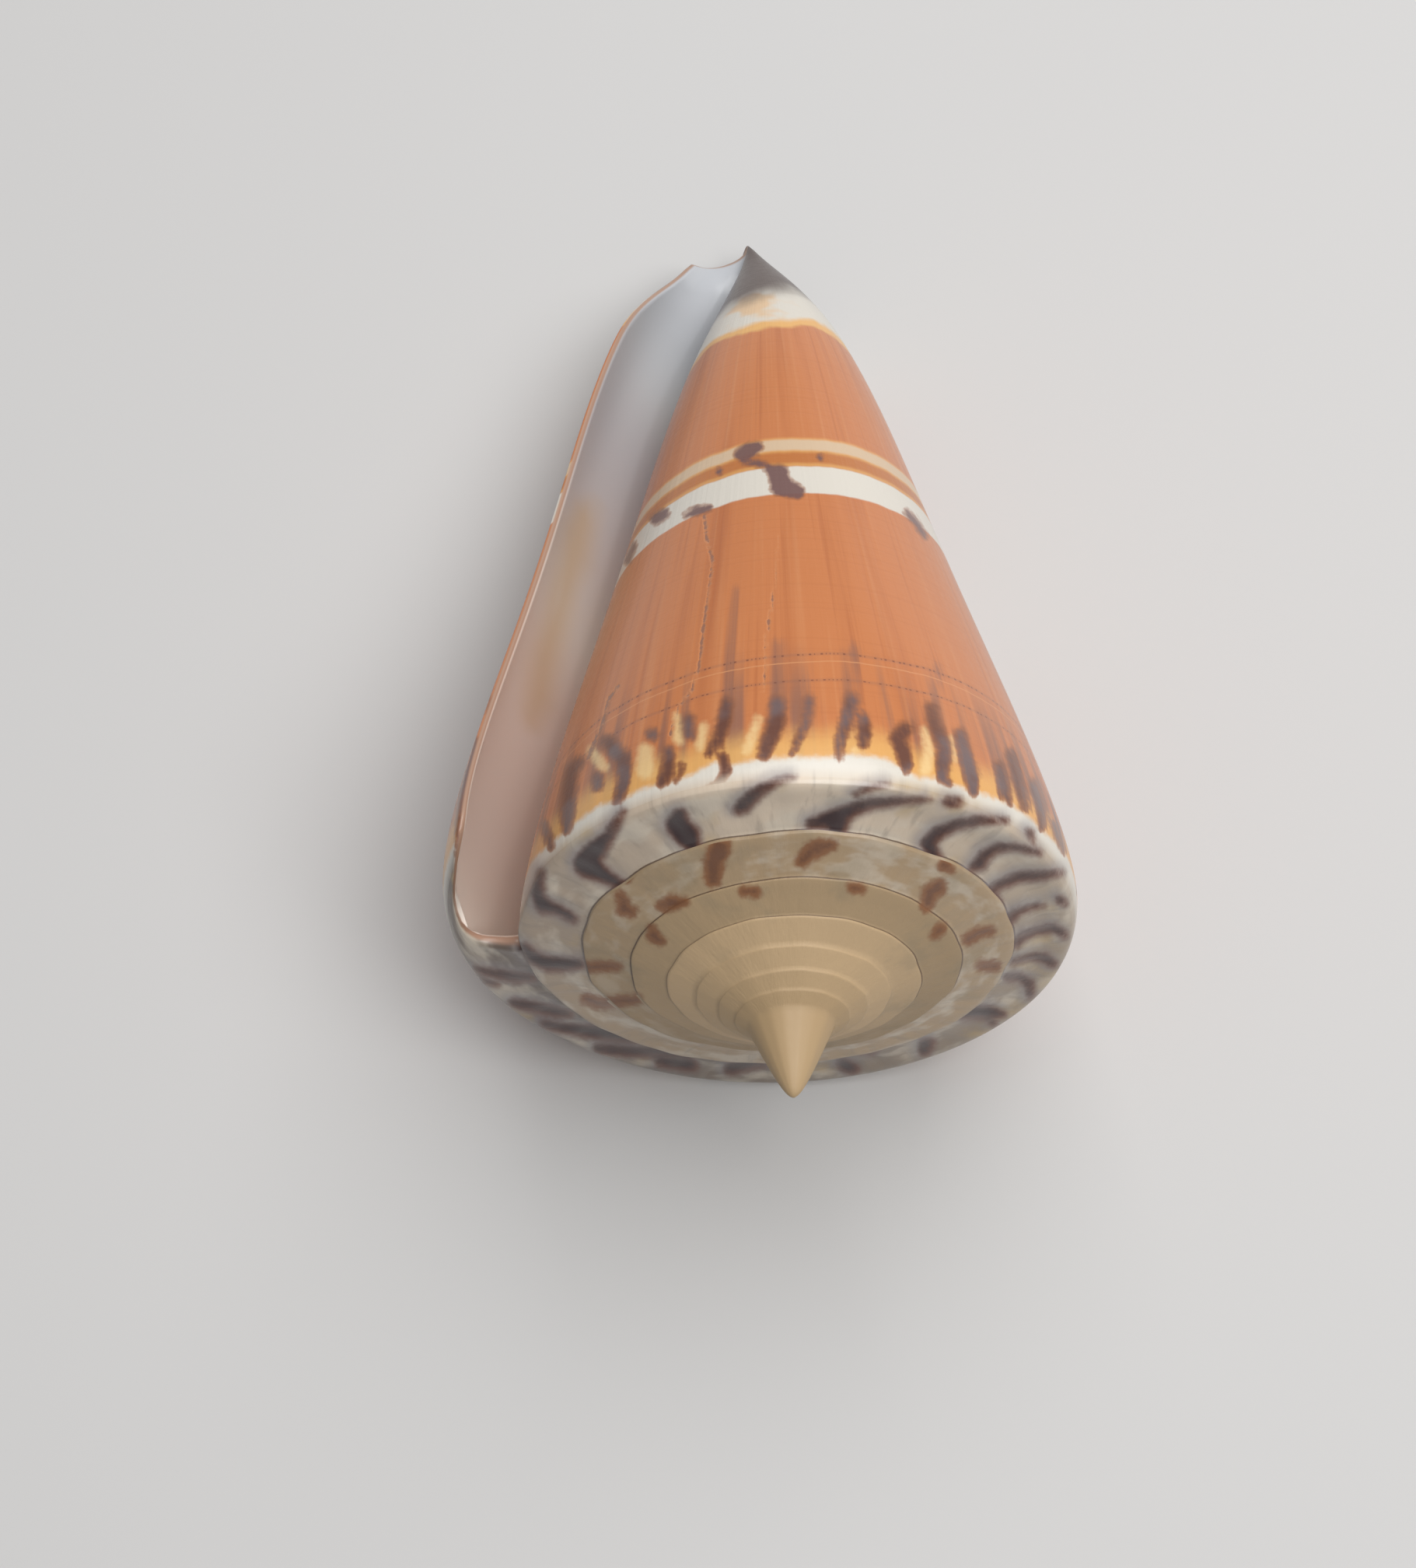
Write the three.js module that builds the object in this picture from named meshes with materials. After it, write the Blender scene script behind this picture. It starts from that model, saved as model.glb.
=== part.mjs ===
// A cone shell lying on its back: one thin wall wound in a right-handed spiral.
// Millimetres, +Z up. The spire points towards -Y and the narrow end towards +Y.
// The shell is worked out about its own axis first: z along the axis towards the apex,
// zero at the shoulder of the lip, and angles turn back from the lip, against the growth.
import * as THREE from 'three';
import { mergeVertices } from 'three/addons/utils/BufferGeometryUtils.js';

const TURN = 2 * Math.PI;
const DEGREE = Math.PI / 180;

// Driving dimensions
const LIP_RADIUS = 19;            // shoulder radius at the lip
const GROWTH = 0.0425;            // the shell shrinks by this power for each radian back
const BODY_LENGTH = 52.74;        // lip shoulder to narrow end, along the axis
const SPIRE_RISES = [[2.73, 1], [4.91, 2.25], [1.2, 11.55]];  // height, power of the lost size
const APEX_HEIGHT = 10.43;
const SPIRE_LEAN = 0.036;         // the older whorls' centres drift sideways by this share of the height
const WALL = 1.05;
const LIP_WALL = 0.45;            // the wall thins to this at the lip
const WALL_REACH = 0.45;          // angle over which it thickens again
const SHOULDER_WAVES = [          // share of the radius, waves a turn
  [0.022, 1], [0.0217, 0.5], [-0.0054, 1.5], [-0.0066, 2], [-0.0053, 2.5],
];
const SHOULDER_BUMPS = [[0.0035, 1.879, 0.756], [-0.0153, 1.403, 0.479]];  // share, angle, width
const JOIN_START = 3.5;           // from here to a whole turn, the next whorl climbs on
const SHOULDER_ROUND = 0.044;     // share of the radius that the rounded shoulder takes in
const OLD_SHOULDER_ROUND = 0.01;  // the same on whorls that the next one has joined
const ROUND_REACH = 0.0165;       // share of the flank's length that the rounding takes
const FLANK_SWELL = [0.3937, -0.2998, 0.5703];
const END_SWELLS = [[-0.483, 6], [-1.2, 18]];  // share, power: narrows towards the tip
const TIP_RADIUS = 0.015;         // of the shoulder radius
const TIP_SHARPNESS = 40;
const TIP_BEND = 1.12;            // the tip leans over this far
const BEND_SHARE = 0.2;           // of the body's length
const FLARE = 6.96;               // how far the lip's narrow end stands off
const FLARE_ANGLE = 2.536;        // where the flare ends, back from the lip
const FLARE_POWER = 1.22;
const CANAL_SHORTFALL = 0.0648;   // of the body's length, at the lip
const SUTURE_STEP = 0.5;          // rise of each older whorl above the suture
const STEP_KEPT = 0.08;           // share of the step and the seam that the oldest whorls keep
const STEP_FADE = 4;              // the rest fades as this power of the size
const SUTURE_DEPTH = 0.0055;      // where a whorl joins the one before, as a share of its flank
const JOIN_DEPTH = 0.0255;        // the same on the inside of the wall
const CEILING_DEPTH = 0.02;
const RAMP_HUMP = 0.23;
const RAMP_HOLLOW = 0.23;
const HUMP_REACH = 0.1;

// How far the lip's edge lies back from its foremost point, as angles
const SUTURE_BACKSET = 0.65;
const RAMP_BACKSET = 0.035;       // more in the middle of the ramp
const NOTCH_FALL = 0.28;          // less at the shoulder, where the notch turns forward
const NOTCH_REACH = [0.12, 0.01]; // on the ramp and on the flank
const LIP_BACKSET = [0.12, 0.2557, 0.532];    // below the shoulder, middle, narrow end
const TOP_SHARE = 0.6;
const END_SHARE = 0.2;
const LIP_FADE = 1.5;             // the lip's curve is gone this far back
const LIP_ROUNDING = 0.35;
const EDGE_LIMIT = 1.37;          // the free edge is rounded as if no thicker than this

// How fine the faces are
const COLUMNS = 40;
const CAVITY_COLUMNS = 60;
const SPIRE_TURNS = 7.5;
const RAMP_ROWS = 3;
const RAMP_CROWDING = 1.8;        // rows lie closer towards the shoulder
const FLANK_ROWS = 11;
const EDGE_ROWS = 3;
const DOME_ROWS = 4;
const DOME_ROUND = 0.255;         // the first whorls end in a cone with this rounding
const CANAL_SEARCH = 0.5;         // the space is surely open this far down the flank
const HALVINGS = 40;
const MERGE_DISTANCE = 1e-4;

// How it lies
const LIP_AZIMUTH = 2.5338;
const REST_COLUMN = 10;           // the column that it rests on
const LEAN = 16.6 * DEGREE;
const FLAT_DEPTH = 0.35;
const REST_POINT = [0, 13.5];     // on the flat spot, under the centre of mass

const clamp01 = (x) => Math.min(1, Math.max(0, x));
const mix = (a, b, share) => a + (b - a) * share;
const steps = (count) => Array.from({ length: count + 1 }, (_, i) => i / count);

function size(angle) {
  return Math.exp(-GROWTH * angle);
}

function joined(angle) {
  const share = clamp01((angle - JOIN_START) / (TURN + SUTURE_BACKSET - JOIN_START));
  return share * share * (3 - 2 * share);
}

function shoulderRadius(angle) {
  const last = Math.min(Math.max(angle, 0), TURN);
  const waves = SHOULDER_WAVES.map(([share, rate]) => share * Math.sin(rate * last));
  const bumps = SHOULDER_BUMPS.map(([share, at, width]) => share * Math.exp(-(((last - at) / width) ** 2)));
  return LIP_RADIUS * size(angle) * (1 + [...waves, ...bumps].reduce((a, b) => a + b));
}

// The steps between whorls were smaller while the shell was small, and are worn besides.
function stepShare(angle) {
  return mix(STEP_KEPT, 1, Math.min(1, size(angle)) ** STEP_FADE);
}

function sutureHeight(angle) {
  const lost = Math.max(0, 1 - size(angle));
  return SPIRE_RISES.reduce((sum, [height, power]) => sum + height * lost ** power, 0);
}

// Radius of the flank as a share of the shoulder's, at share v down from the shoulder.
function flankShare(v) {
  const across = 1 - 2 * v;
  const [even, tilt, ends] = FLANK_SWELL;
  const end = END_SWELLS.reduce((sum, [share, power]) => sum + share * v ** power, 0);
  const swell = even + tilt * across + ends * across ** 2 + end;
  const tip = TIP_RADIUS * v * Math.sqrt(Math.max(0, 1 - v ** TIP_SHARPNESS));
  return 1 - v + tip + v * (1 - v) * swell;
}

// Radius and height of the outer wall.
function flank(angle, v) {
  const open = clamp01(1 - angle / FLARE_ANGLE);
  const round = v < 1 ? mix(SHOULDER_ROUND, OLD_SHOULDER_ROUND, joined(angle)) : 0;
  const share = flankShare(v) - round * Math.exp(-v / ROUND_REACH);
  const flare = FLARE * open ** 2 * v ** FLARE_POWER;
  const top = sutureHeight(angle) + SUTURE_STEP * stepShare(angle) * joined(angle);
  const end = -BODY_LENGTH * (1 - CANAL_SHORTFALL * open ** 2);
  return [shoulderRadius(angle) * share + flare, mix(top, end, v)];
}

// How far down the older whorl's flank the ramp meets it.
function seamDepth(column) {
  return SUTURE_DEPTH * stepShare(column);
}

// Radius and height of the ramp, from the shoulder (u = 0) in to the older whorl (u = 1).
function ramp(angle, u) {
  const [r0, z0] = flank(angle, 0);
  const [r1, z1] = flank(angle + TURN, seamDepth(angle - SUTURE_BACKSET));
  const hump = RAMP_HUMP * (1 - Math.exp(-u / HUMP_REACH)) * (1 - u);
  const hollow = RAMP_HOLLOW * Math.sin(Math.PI * u) ** 2;
  return [mix(r0, r1, u), mix(z0, z1, u) + size(angle) * (hump - hollow)];
}

// The first columns follow the lip's edge, and later ones turn into straight ones. Each
// column is numbered by its angle back from where the lip leaves the suture.
function setBack(column, backset) {
  const fade = clamp01(1 - column / LIP_FADE) ** 2;
  return SUTURE_BACKSET + column + (backset - SUTURE_BACKSET) * fade;
}

function flankAngle(column, v) {
  const [top, middle, end] = LIP_BACKSET;
  const atTop = clamp01(1 - v / TOP_SHARE) ** 2;
  const atEnd = clamp01((v - 1 + END_SHARE) / END_SHARE) ** 2;
  const notch = (SUTURE_BACKSET - NOTCH_FALL - top) * Math.exp(-v / NOTCH_REACH[1]);
  return setBack(column, top * atTop + middle * 4 * v * (1 - v) + end * atEnd + notch);
}

function rampAngle(column, u) {
  const notch = NOTCH_FALL * Math.exp(-u / NOTCH_REACH[0]) * (1 - u);
  return setBack(column, SUTURE_BACKSET + RAMP_BACKSET * Math.sin(Math.PI * u) * u - notch);
}

function place([radius, height], angle) {
  const azimuth = LIP_AZIMUTH + angle;
  const bend = TIP_BEND * Math.max(0, 1 - (1 + height / BODY_LENGTH) / BEND_SHARE) ** 2;
  const shift = SPIRE_LEAN * Math.max(0, height) - bend;
  return new THREE.Vector3(radius * Math.cos(azimuth) + shift, radius * Math.sin(azimuth), height);
}

function wallAt(column) {
  return mix(LIP_WALL, WALL, clamp01(column / WALL_REACH));
}

// Where the space between two whorls closes towards the narrow end.
function canalFloor(column) {
  const angle = SUTURE_BACKSET + column;
  const gap = (v) => flank(angle, v)[0] - wallAt(column) - flank(angle + TURN, v)[0];
  if (gap(1) > 0) return 1;
  let open = CANAL_SEARCH;
  let shut = 1;
  for (let round = 0; round < HALVINGS; round += 1) {
    const middle = (open + shut) / 2;
    if (gap(middle) > 0) open = middle;
    else shut = middle;
  }
  return open;
}

const columnAngles = steps(COLUMNS).map((share) => share * TURN);
const columnStep = TURN / COLUMNS;
const rampRows = steps(RAMP_ROWS).reverse().map((share) => share ** RAMP_CROWDING);
const lowerRows = steps(FLANK_ROWS);
const edgeRows = steps(EDGE_ROWS);
const seamRows = edgeRows.slice(0, -1).map((share) => mix(SUTURE_DEPTH, JOIN_DEPTH, share));
const flankRows = [0, ...seamRows, ...lowerRows.map((share) => mix(JOIN_DEPTH, 1, share))];

// The ramps of all whorls, each with the small step at its shoulder.
function rampColumns() {
  const columns = [];
  for (let i = 0; i <= SPIRE_TURNS * COLUMNS; i += 1) {
    const column = i * columnStep;
    const seam = seamDepth(column - TURN);
    const points = rampRows.map((u) => place(ramp(rampAngle(column, u), u), rampAngle(column, u)));
    points.push(place(flank(flankAngle(column, SUTURE_DEPTH), seam), flankAngle(column, SUTURE_DEPTH)));
    columns.push(points);
  }
  return columns;
}

function flankColumns() {
  return columnAngles.map((column) => flankRows.slice(1).map((v) => {
    const angle = flankAngle(column, v);
    return place(flank(angle, v), angle);
  }));
}

// The space inside: up the inside of the outer wall, in under the ramp, and down the
// whorl before, to the floor where the two walls meet.
function cavityColumn(column) {
  const floor = canalFloor(column);
  const thickness = wallAt(column);
  const whorl = SUTURE_BACKSET + column + TURN;
  const wall = [...flankRows].reverse().map((v) => {
    const depth = mix(CEILING_DEPTH * thickness / WALL, floor, v);
    const angle = flankAngle(column, v);
    const [radius, height] = flank(angle, depth);
    return [radius - thickness, height, angle];
  });
  if (floor < 1) wall[0] = [...flank(whorl, floor), whorl];
  const [r0, z0] = wall[wall.length - 1];
  const [r1, z1] = flank(whorl, JOIN_DEPTH);
  const topOuter = ramp(rampAngle(column, 0), 0)[1];
  const topInner = ramp(rampAngle(column, 1), 1)[1];
  const ceiling = [...rampRows].reverse().map((u) => {
    const angle = rampAngle(column, u);
    const drop = mix(z0 - topOuter, z1 - topInner, u);
    return [mix(r0, r1, u), ramp(angle, u)[1] + drop, angle];
  });
  const inner = lowerRows.map((share) => {
    const v = mix(JOIN_DEPTH, floor, share);
    return [...flank(whorl, v), whorl];
  });
  const outline = [...wall, ...ceiling.slice(1), ...inner.slice(1)];
  return { floor, points: outline.map(([radius, height, angle]) => place([radius, height], angle)) };
}

// The free edge: from the suture along the lip and round the narrow end to the tip, as
// rows of points across the wall, rounded outwards.
function freeEdge(ramps, flanks, cavity) {
  const wallRows = flankRows.length;
  const lipOuter = [...ramps[0].slice(0, -1), ...flanks[0]];
  const lipBehind = [...ramps[1].slice(0, -1), ...flanks[1]];
  const insideLip = cavity[0].points;
  const lipInner = [...insideLip.slice(wallRows, wallRows + RAMP_ROWS).reverse(),
    ...insideLip.slice(0, wallRows).reverse()];
  const rimColumns = Math.ceil(FLARE_ANGLE / columnStep);
  const tip = place(flank(TURN, 1), TURN);
  const seamAngle = TURN + SUTURE_BACKSET;
  const lastRow = flanks[0].length - 1;
  const outer = [...lipOuter];
  const inner = [...lipInner];
  const behind = [...lipBehind];
  for (let i = 1; i <= rimColumns; i += 1) {
    outer.push(flanks[i][lastRow]);
    inner.push(cavity[i].floor < 1 ? tip : cavity[i].points[0]);
    behind.push(flanks[i][lastRow - 1]);
  }
  return outer.map((point, i) => {
    const shares = [...edgeRows].reverse();
    if (i === 0) {
      return shares.map((share) => place(flank(seamAngle, mix(SUTURE_DEPTH, JOIN_DEPTH, share)), seamAngle));
    }
    const outward = point.clone().sub(behind[i]).normalize();
    const width = Math.min(point.distanceTo(inner[i]), EDGE_LIMIT);
    return shares.map((share) => point.clone().lerp(inner[i], share)
      .addScaledVector(outward, LIP_ROUNDING * width * Math.sin(Math.PI * share)));
  });
}

// The first whorls end in a small blunt cone over the open last turn.
function dome(ramps) {
  const seam = ramps.slice(-COLUMNS - 1).map((column) => column[0]);
  const loop = [...seam, ...ramps[ramps.length - 1].slice(1)];
  const apex = place([0, APEX_HEIGHT], 0);
  const fall = (share) => Math.hypot(share, DOME_ROUND) - DOME_ROUND;
  return loop.map((point) => steps(DOME_ROWS).map((share) => new THREE.Vector3(
    mix(apex.x, point.x, share),
    mix(apex.y, point.y, share),
    mix(apex.z, point.z, fall(share) / fall(1)),
  )));
}

const corners = [];

function addTriangle(a, b, c) {
  [a, b, c].forEach((point) => corners.push(point.x, point.y, point.z));
}

function addGrid(columns) {
  for (let i = 0; i + 1 < columns.length; i += 1) {
    for (let j = 0; j + 1 < columns[i].length; j += 1) {
      const [a, b] = [columns[i][j], columns[i + 1][j]];
      const [d, c] = [columns[i][j + 1], columns[i + 1][j + 1]];
      addTriangle(a, d, c);
      addTriangle(a, c, b);
    }
  }
}

function addEndWall(ring) {
  const middle = ring.reduce((sum, point) => sum.add(point), new THREE.Vector3()).divideScalar(ring.length);
  ring.forEach((point, i) => addTriangle(point, ring[(i + 1) % ring.length], middle));
}

const ramps = rampColumns();
const flanks = flankColumns();
const cavity = steps(CAVITY_COLUMNS).map((_, i) => cavityColumn(i * columnStep));
const edge = freeEdge(ramps, flanks, cavity);
const floorStart = cavity.findIndex((column) => column.floor < 1);
addGrid(ramps);
addGrid(flanks);
addGrid(cavity.map((column) => column.points));
addEndWall(cavity[CAVITY_COLUMNS].points);
addGrid(edgeRows.map((_, k) => edge.map((row) => row[k])));
addGrid(dome(ramps));
addTriangle(cavity[floorStart - 1].points[0], cavity[floorStart].points[0], place(flank(TURN, 1), TURN));

// Lays the shell down on its back, and flattens the spot that it rests on.
function layDown(geometry) {
  const azimuth = LIP_AZIMUTH + SUTURE_BACKSET + REST_COLUMN * columnStep;
  const [c, s] = [Math.cos(azimuth), Math.sin(azimuth)];
  const up = new THREE.Vector3(-Math.cos(LEAN) * c, -Math.cos(LEAN) * s, Math.sin(LEAN));
  const along = new THREE.Vector3(-Math.sin(LEAN) * c, -Math.sin(LEAN) * s, -Math.cos(LEAN));
  const across = along.clone().cross(up);
  geometry.applyMatrix4(new THREE.Matrix4().makeBasis(across, along, up).transpose());
  geometry.computeBoundingBox();
  geometry.translate(-REST_POINT[0], -REST_POINT[1], -geometry.boundingBox.min.z - FLAT_DEPTH);
  const places = geometry.attributes.position;
  for (let i = 0; i < places.count; i += 1) places.setZ(i, Math.max(0, places.getZ(i)));
}

function closedBody() {
  const loose = new THREE.BufferGeometry();
  loose.setAttribute('position', new THREE.Float32BufferAttribute(corners, 3));
  const merged = mergeVertices(loose, MERGE_DISTANCE);
  const index = merged.index.array;
  const kept = [];
  for (let i = 0; i < index.length; i += 3) {
    const [a, b, c] = [index[i], index[i + 1], index[i + 2]];
    if (a !== b && b !== c && c !== a) kept.push(a, b, c);
  }
  merged.setIndex(kept);
  layDown(merged);
  merged.computeVertexNormals();
  return merged;
}

const shellColour = new THREE.MeshStandardMaterial({ color: 0xc98a58, roughness: 0.35, metalness: 0 });
const shell = new THREE.Mesh(closedBody(), shellColour);
shell.name = 'shell';

const group = new THREE.Group();
group.add(shell);
export default group;
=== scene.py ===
import bpy
import numpy as np
from mathutils import Matrix


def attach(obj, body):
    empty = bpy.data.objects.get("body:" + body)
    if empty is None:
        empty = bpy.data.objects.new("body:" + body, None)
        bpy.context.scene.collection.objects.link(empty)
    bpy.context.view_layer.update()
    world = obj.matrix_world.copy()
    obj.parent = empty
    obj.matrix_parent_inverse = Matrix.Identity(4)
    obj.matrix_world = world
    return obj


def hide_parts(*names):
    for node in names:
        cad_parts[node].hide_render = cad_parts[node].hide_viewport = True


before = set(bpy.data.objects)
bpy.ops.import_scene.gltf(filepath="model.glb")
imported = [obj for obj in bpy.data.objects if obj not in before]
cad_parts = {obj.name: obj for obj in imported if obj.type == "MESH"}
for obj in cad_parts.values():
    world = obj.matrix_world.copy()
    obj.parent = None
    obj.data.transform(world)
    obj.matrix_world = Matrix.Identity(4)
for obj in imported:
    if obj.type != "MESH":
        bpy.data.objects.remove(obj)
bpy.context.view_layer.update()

# The camera
# A close, slightly long lens looks down on the spire end of the shell. Its place is
# given about the shell's own axis, and the lens and tilt follow the photograph's frame.
IMAGE_SIZE = np.array([1821, 2016])
FOCAL_PIXELS = 3216.7
SENSOR = 0.036
LIP_RADIUS = 0.019
LIP_AZIMUTH = 2.5338
SUTURE_BACKSET = 0.65
REST_ANGLE = SUTURE_BACKSET + np.radians(90)
LEAN = np.radians(16.6)
AXIS_HEIGHT = 0.01775
REST_ALONG = 0.0135
AIM_POINT = np.array([0, 0, -1.2*LIP_RADIUS])
AIM_PIXEL = np.array([995.5, 768.2])
CAMERA_RISE = 0.8873
CAMERA_DISTANCE = 7.828*LIP_RADIUS
CAMERA_ROLL = -0.0257


def unit(vectors):
    """Vectors scaled to length one."""
    return vectors/np.maximum(np.linalg.norm(vectors, axis=-1, keepdims=True), 1e-12)


def lying_axes():
    """Rows are the world's X, Y and Z in the shell's own frame, as it lies on its back."""
    azimuth = LIP_AZIMUTH + REST_ANGLE
    out = np.array([np.cos(azimuth), np.sin(azimuth), 0])
    axis = np.array([0, 0, 1])
    up = -np.cos(LEAN)*out + np.sin(LEAN)*axis
    along = -np.sin(LEAN)*out - np.cos(LEAN)*axis
    return np.stack([np.cross(along, up), along, up])


LYING = lying_axes()
LYING_PLACE = np.array([0, -REST_ALONG, AXIS_HEIGHT])


def lay_down(points):
    """Points from the shell's own frame to the world, with the rest spot pressed flat."""
    world = points@LYING.T + LYING_PLACE
    world[..., 2] = np.maximum(world[..., 2], 0)
    return world


def camera_axes():
    """Rows are the camera's right, up and back in the shell's own frame: back points
    from the aim point to the lens, turned so that the aim point lands on its pixel."""
    back = np.array([0, np.sin(CAMERA_RISE), np.cos(CAMERA_RISE)])
    right = unit(np.cross([0, 0, -1], back))
    up = np.cross(back, right)
    c, s = np.cos(CAMERA_ROLL), np.sin(CAMERA_ROLL)
    level = np.stack([c*right + s*up, c*up - s*right, back])
    offset = (AIM_PIXEL - IMAGE_SIZE/2)/FOCAL_PIXELS
    ray = unit(np.array([offset[0], -offset[1], -1]))
    ahead = np.array([0, 0, -1])
    turn = np.cross(ahead, ray)
    cross = np.array([[0, -turn[2], turn[1]], [turn[2], 0, -turn[0]], [-turn[1], turn[0], 0]])
    swing = np.eye(3) + cross + cross@cross/(1 + ahead@ray)
    return back, swing@level


camera_back, CAMERA_AXES = camera_axes()
CAMERA_PLACE = AIM_POINT + CAMERA_DISTANCE*camera_back

lens = bpy.data.cameras.new("photo_camera")
lens.sensor_width = SENSOR*1000
lens.lens = FOCAL_PIXELS/IMAGE_SIZE.max()*SENSOR*1000
lens.clip_start = 0.005
camera = bpy.data.objects.new("photo_camera", lens)
bpy.context.collection.objects.link(camera)
camera_place = lay_down(CAMERA_PLACE[None])[0]
turned = Matrix((LYING@CAMERA_AXES.T).tolist()).to_4x4()
camera.matrix_world = Matrix.Translation(camera_place.tolist())@turned
bpy.context.scene.camera = camera

# The shell
# One wall of glossy chalky shell, wound in a right-handed spiral by the animal that
# lived in it. It grew at the lip, so every streak and scar runs as the lip once ran.
TURN = 2*np.pi
GROWTH = 0.0425
BODY_LENGTH = 0.05274
SPIRE_RISES = ((0.00273, 1), (0.00491, 2.25), (0.0012, 11.55))
APEX_HEIGHT = 0.01043
SPIRE_LEAN = 0.036
WALL = 0.00105
LIP_WALL = 0.00045
WALL_REACH = 0.45
SHOULDER_WAVES = ((0.022, 1), (0.0217, 0.5), (-0.0054, 1.5), (-0.0066, 2), (-0.0053, 2.5))
SHOULDER_BUMPS = ((0.0035, 1.879, 0.756), (-0.0153, 1.403, 0.479))
JOIN_START = 3.5
SHOULDER_ROUND = 0.044
OLD_SHOULDER_ROUND = 0.01
OLD_WAVES = 0.012
ROUND_REACH = 0.0165
FLANK_SWELL = (0.3937, -0.2998, 0.5703)
END_SWELLS = ((-0.483, 6), (-1.2, 18))
TIP_RADIUS = 0.015
TIP_SHARPNESS = 40
TIP_BEND = 0.00112
BEND_SHARE = 0.2
FLARE = 0.00696
FLARE_ANGLE = 2.536
FLARE_POWER = 1.22
CANAL_SHORTFALL = 0.0648
SUTURE_STEP = 0.0005
STEP_KEPT = 0.08
STEP_FADE = 4
RIDGE_HEIGHT = 0.00006
SUTURE_DEPTH = 0.0055
JOIN_DEPTH = 0.0255
CEILING_DEPTH = 0.02
RAMP_HUMP = 0.00023
RAMP_HOLLOW = 0.00023
HUMP_REACH = 0.1
RAMP_BACKSET = 0.035
NOTCH_FALL = 0.28
NOTCH_REACH = (0.12, 0.01)
LIP_BACKSET = (0.12, 0.2557, 0.532)
TOP_SHARE = 0.6
END_SHARE = 0.2
LIP_FADE = 1.5
LIP_ROUNDING = 0.35

COLUMNS = 360
DETAILED_COLUMNS = 1200
DEEP_STEP = 12
CAVITY_TURNS = 1.5
SPIRE_TURNS = 7.5
RAMP_ROWS = 14
RAMP_CROWDING = 1.4
FLANK_ROWS = 100
ROW_CROWDING = 1.15
ROW_STEP = 4
EDGE_ROWS = 6
EDGE_LIMIT = 1.3
DOME_ROWS = 16
DOME_ROUND = 0.255


def size(angle):
    """Size of the shell at an angle back from the lip: it shrinks exponentially."""
    return np.exp(-GROWTH*angle)


def joined(angle):
    """0 on the free part of the last whorl, rising smoothly to 1 where the next joins."""
    share = np.clip((angle - JOIN_START)/(TURN + SUTURE_BACKSET - JOIN_START), 0, 1)
    return share*share*(3 - 2*share)


def shoulder_radius(angle):
    """The spiral of the shoulder, with the last whorl's slow waves."""
    last = np.clip(angle, 0, TURN)
    waves = sum(share*np.sin(rate*last) for share, rate in SHOULDER_WAVES)
    bumps = sum(share*np.exp(-((last - at)/width)**2) for share, at, width in SHOULDER_BUMPS)
    old = np.clip(angle - TURN - SUTURE_BACKSET, 0, 1)*step_share(angle - TURN)
    return LIP_RADIUS*size(angle)*(1 + waves + bumps + OLD_WAVES*old*uneven(1.7*angle))


def step_share(angle):
    """The steps between whorls fade towards the apex as a power of the size."""
    return STEP_KEPT + (1 - STEP_KEPT)*np.minimum(size(angle), 1)**STEP_FADE


def uneven(angle):
    """Slow, irregular ups and downs of growth, between about -1 and 1: sines whose
    rates never fall in step."""
    return 0.45*np.sin(5.3*angle) + 0.35*np.sin(9.7*angle + 1) + 0.3*np.sin(17.1*angle + 2)


def suture_height(angle):
    """Height of the seam between whorls, as powers of the size that is lost."""
    lost = np.maximum(1 - size(angle), 0)
    return sum(height*lost**power for height, power in SPIRE_RISES)


def flank_share(v):
    """Radius of the flank over the shoulder's: a cone that swells, with a round tip."""
    across = 1 - 2*v
    even, tilt, ends = FLANK_SWELL
    swell = even + tilt*across + ends*across**2 + sum(share*v**power for share, power in END_SWELLS)
    return 1 - v + TIP_RADIUS*v*np.sqrt(np.maximum(1 - v**TIP_SHARPNESS, 0)) + v*(1 - v)*swell


def flank(angle, v):
    """Radius and height of the outer wall, v from 0 at the shoulder to 1 at the tip."""
    opened = np.clip(1 - angle/FLARE_ANGLE, 0, 1)
    old_round = OLD_SHOULDER_ROUND*(1 + uneven(angle))
    rounding = SHOULDER_ROUND + (old_round - SHOULDER_ROUND)*joined(angle)
    share = flank_share(v) - rounding*np.exp(-v/ROUND_REACH)*(v < 1)
    top = suture_height(angle) + SUTURE_STEP*step_share(angle)*joined(angle)
    end = -BODY_LENGTH*(1 - CANAL_SHORTFALL*opened**2)
    return shoulder_radius(angle)*share + FLARE*opened**2*v**FLARE_POWER, top + v*(end - top)


def seam_depth(column):
    """How far down the older whorl's flank the ramp meets it: less on smaller whorls."""
    return SUTURE_DEPTH*step_share(column)


def ramp(angle, u):
    """Radius and height of the ramp, u from 0 at the shoulder to 1 at the older whorl."""
    r0, z0 = flank(angle, 0*u)
    r1, z1 = flank(angle + TURN, seam_depth(angle - SUTURE_BACKSET))
    hump = RAMP_HUMP*(1 - np.exp(-u/HUMP_REACH))*(1 - u)
    hollow = RAMP_HOLLOW*np.sin(np.pi*u)**2
    ridges = RIDGE_HEIGHT*np.sin(np.pi*u)*np.sin(48*angle + 3*uneven(angle))
    relief = step_share(angle - TURN)*(hump - hollow + ridges)
    return r0 + u*(r1 - r0), z0 + u*(z1 - z0) + size(angle)*relief


def set_back(column, backset):
    """Angle along a column, which is numbered by its angle back from the end of the
    suture: the first follow the lip's edge, and later ones turn into straight ones."""
    fade = np.clip(1 - column/LIP_FADE, 0, 1)**2
    return SUTURE_BACKSET + column + (backset - SUTURE_BACKSET)*fade


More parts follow.
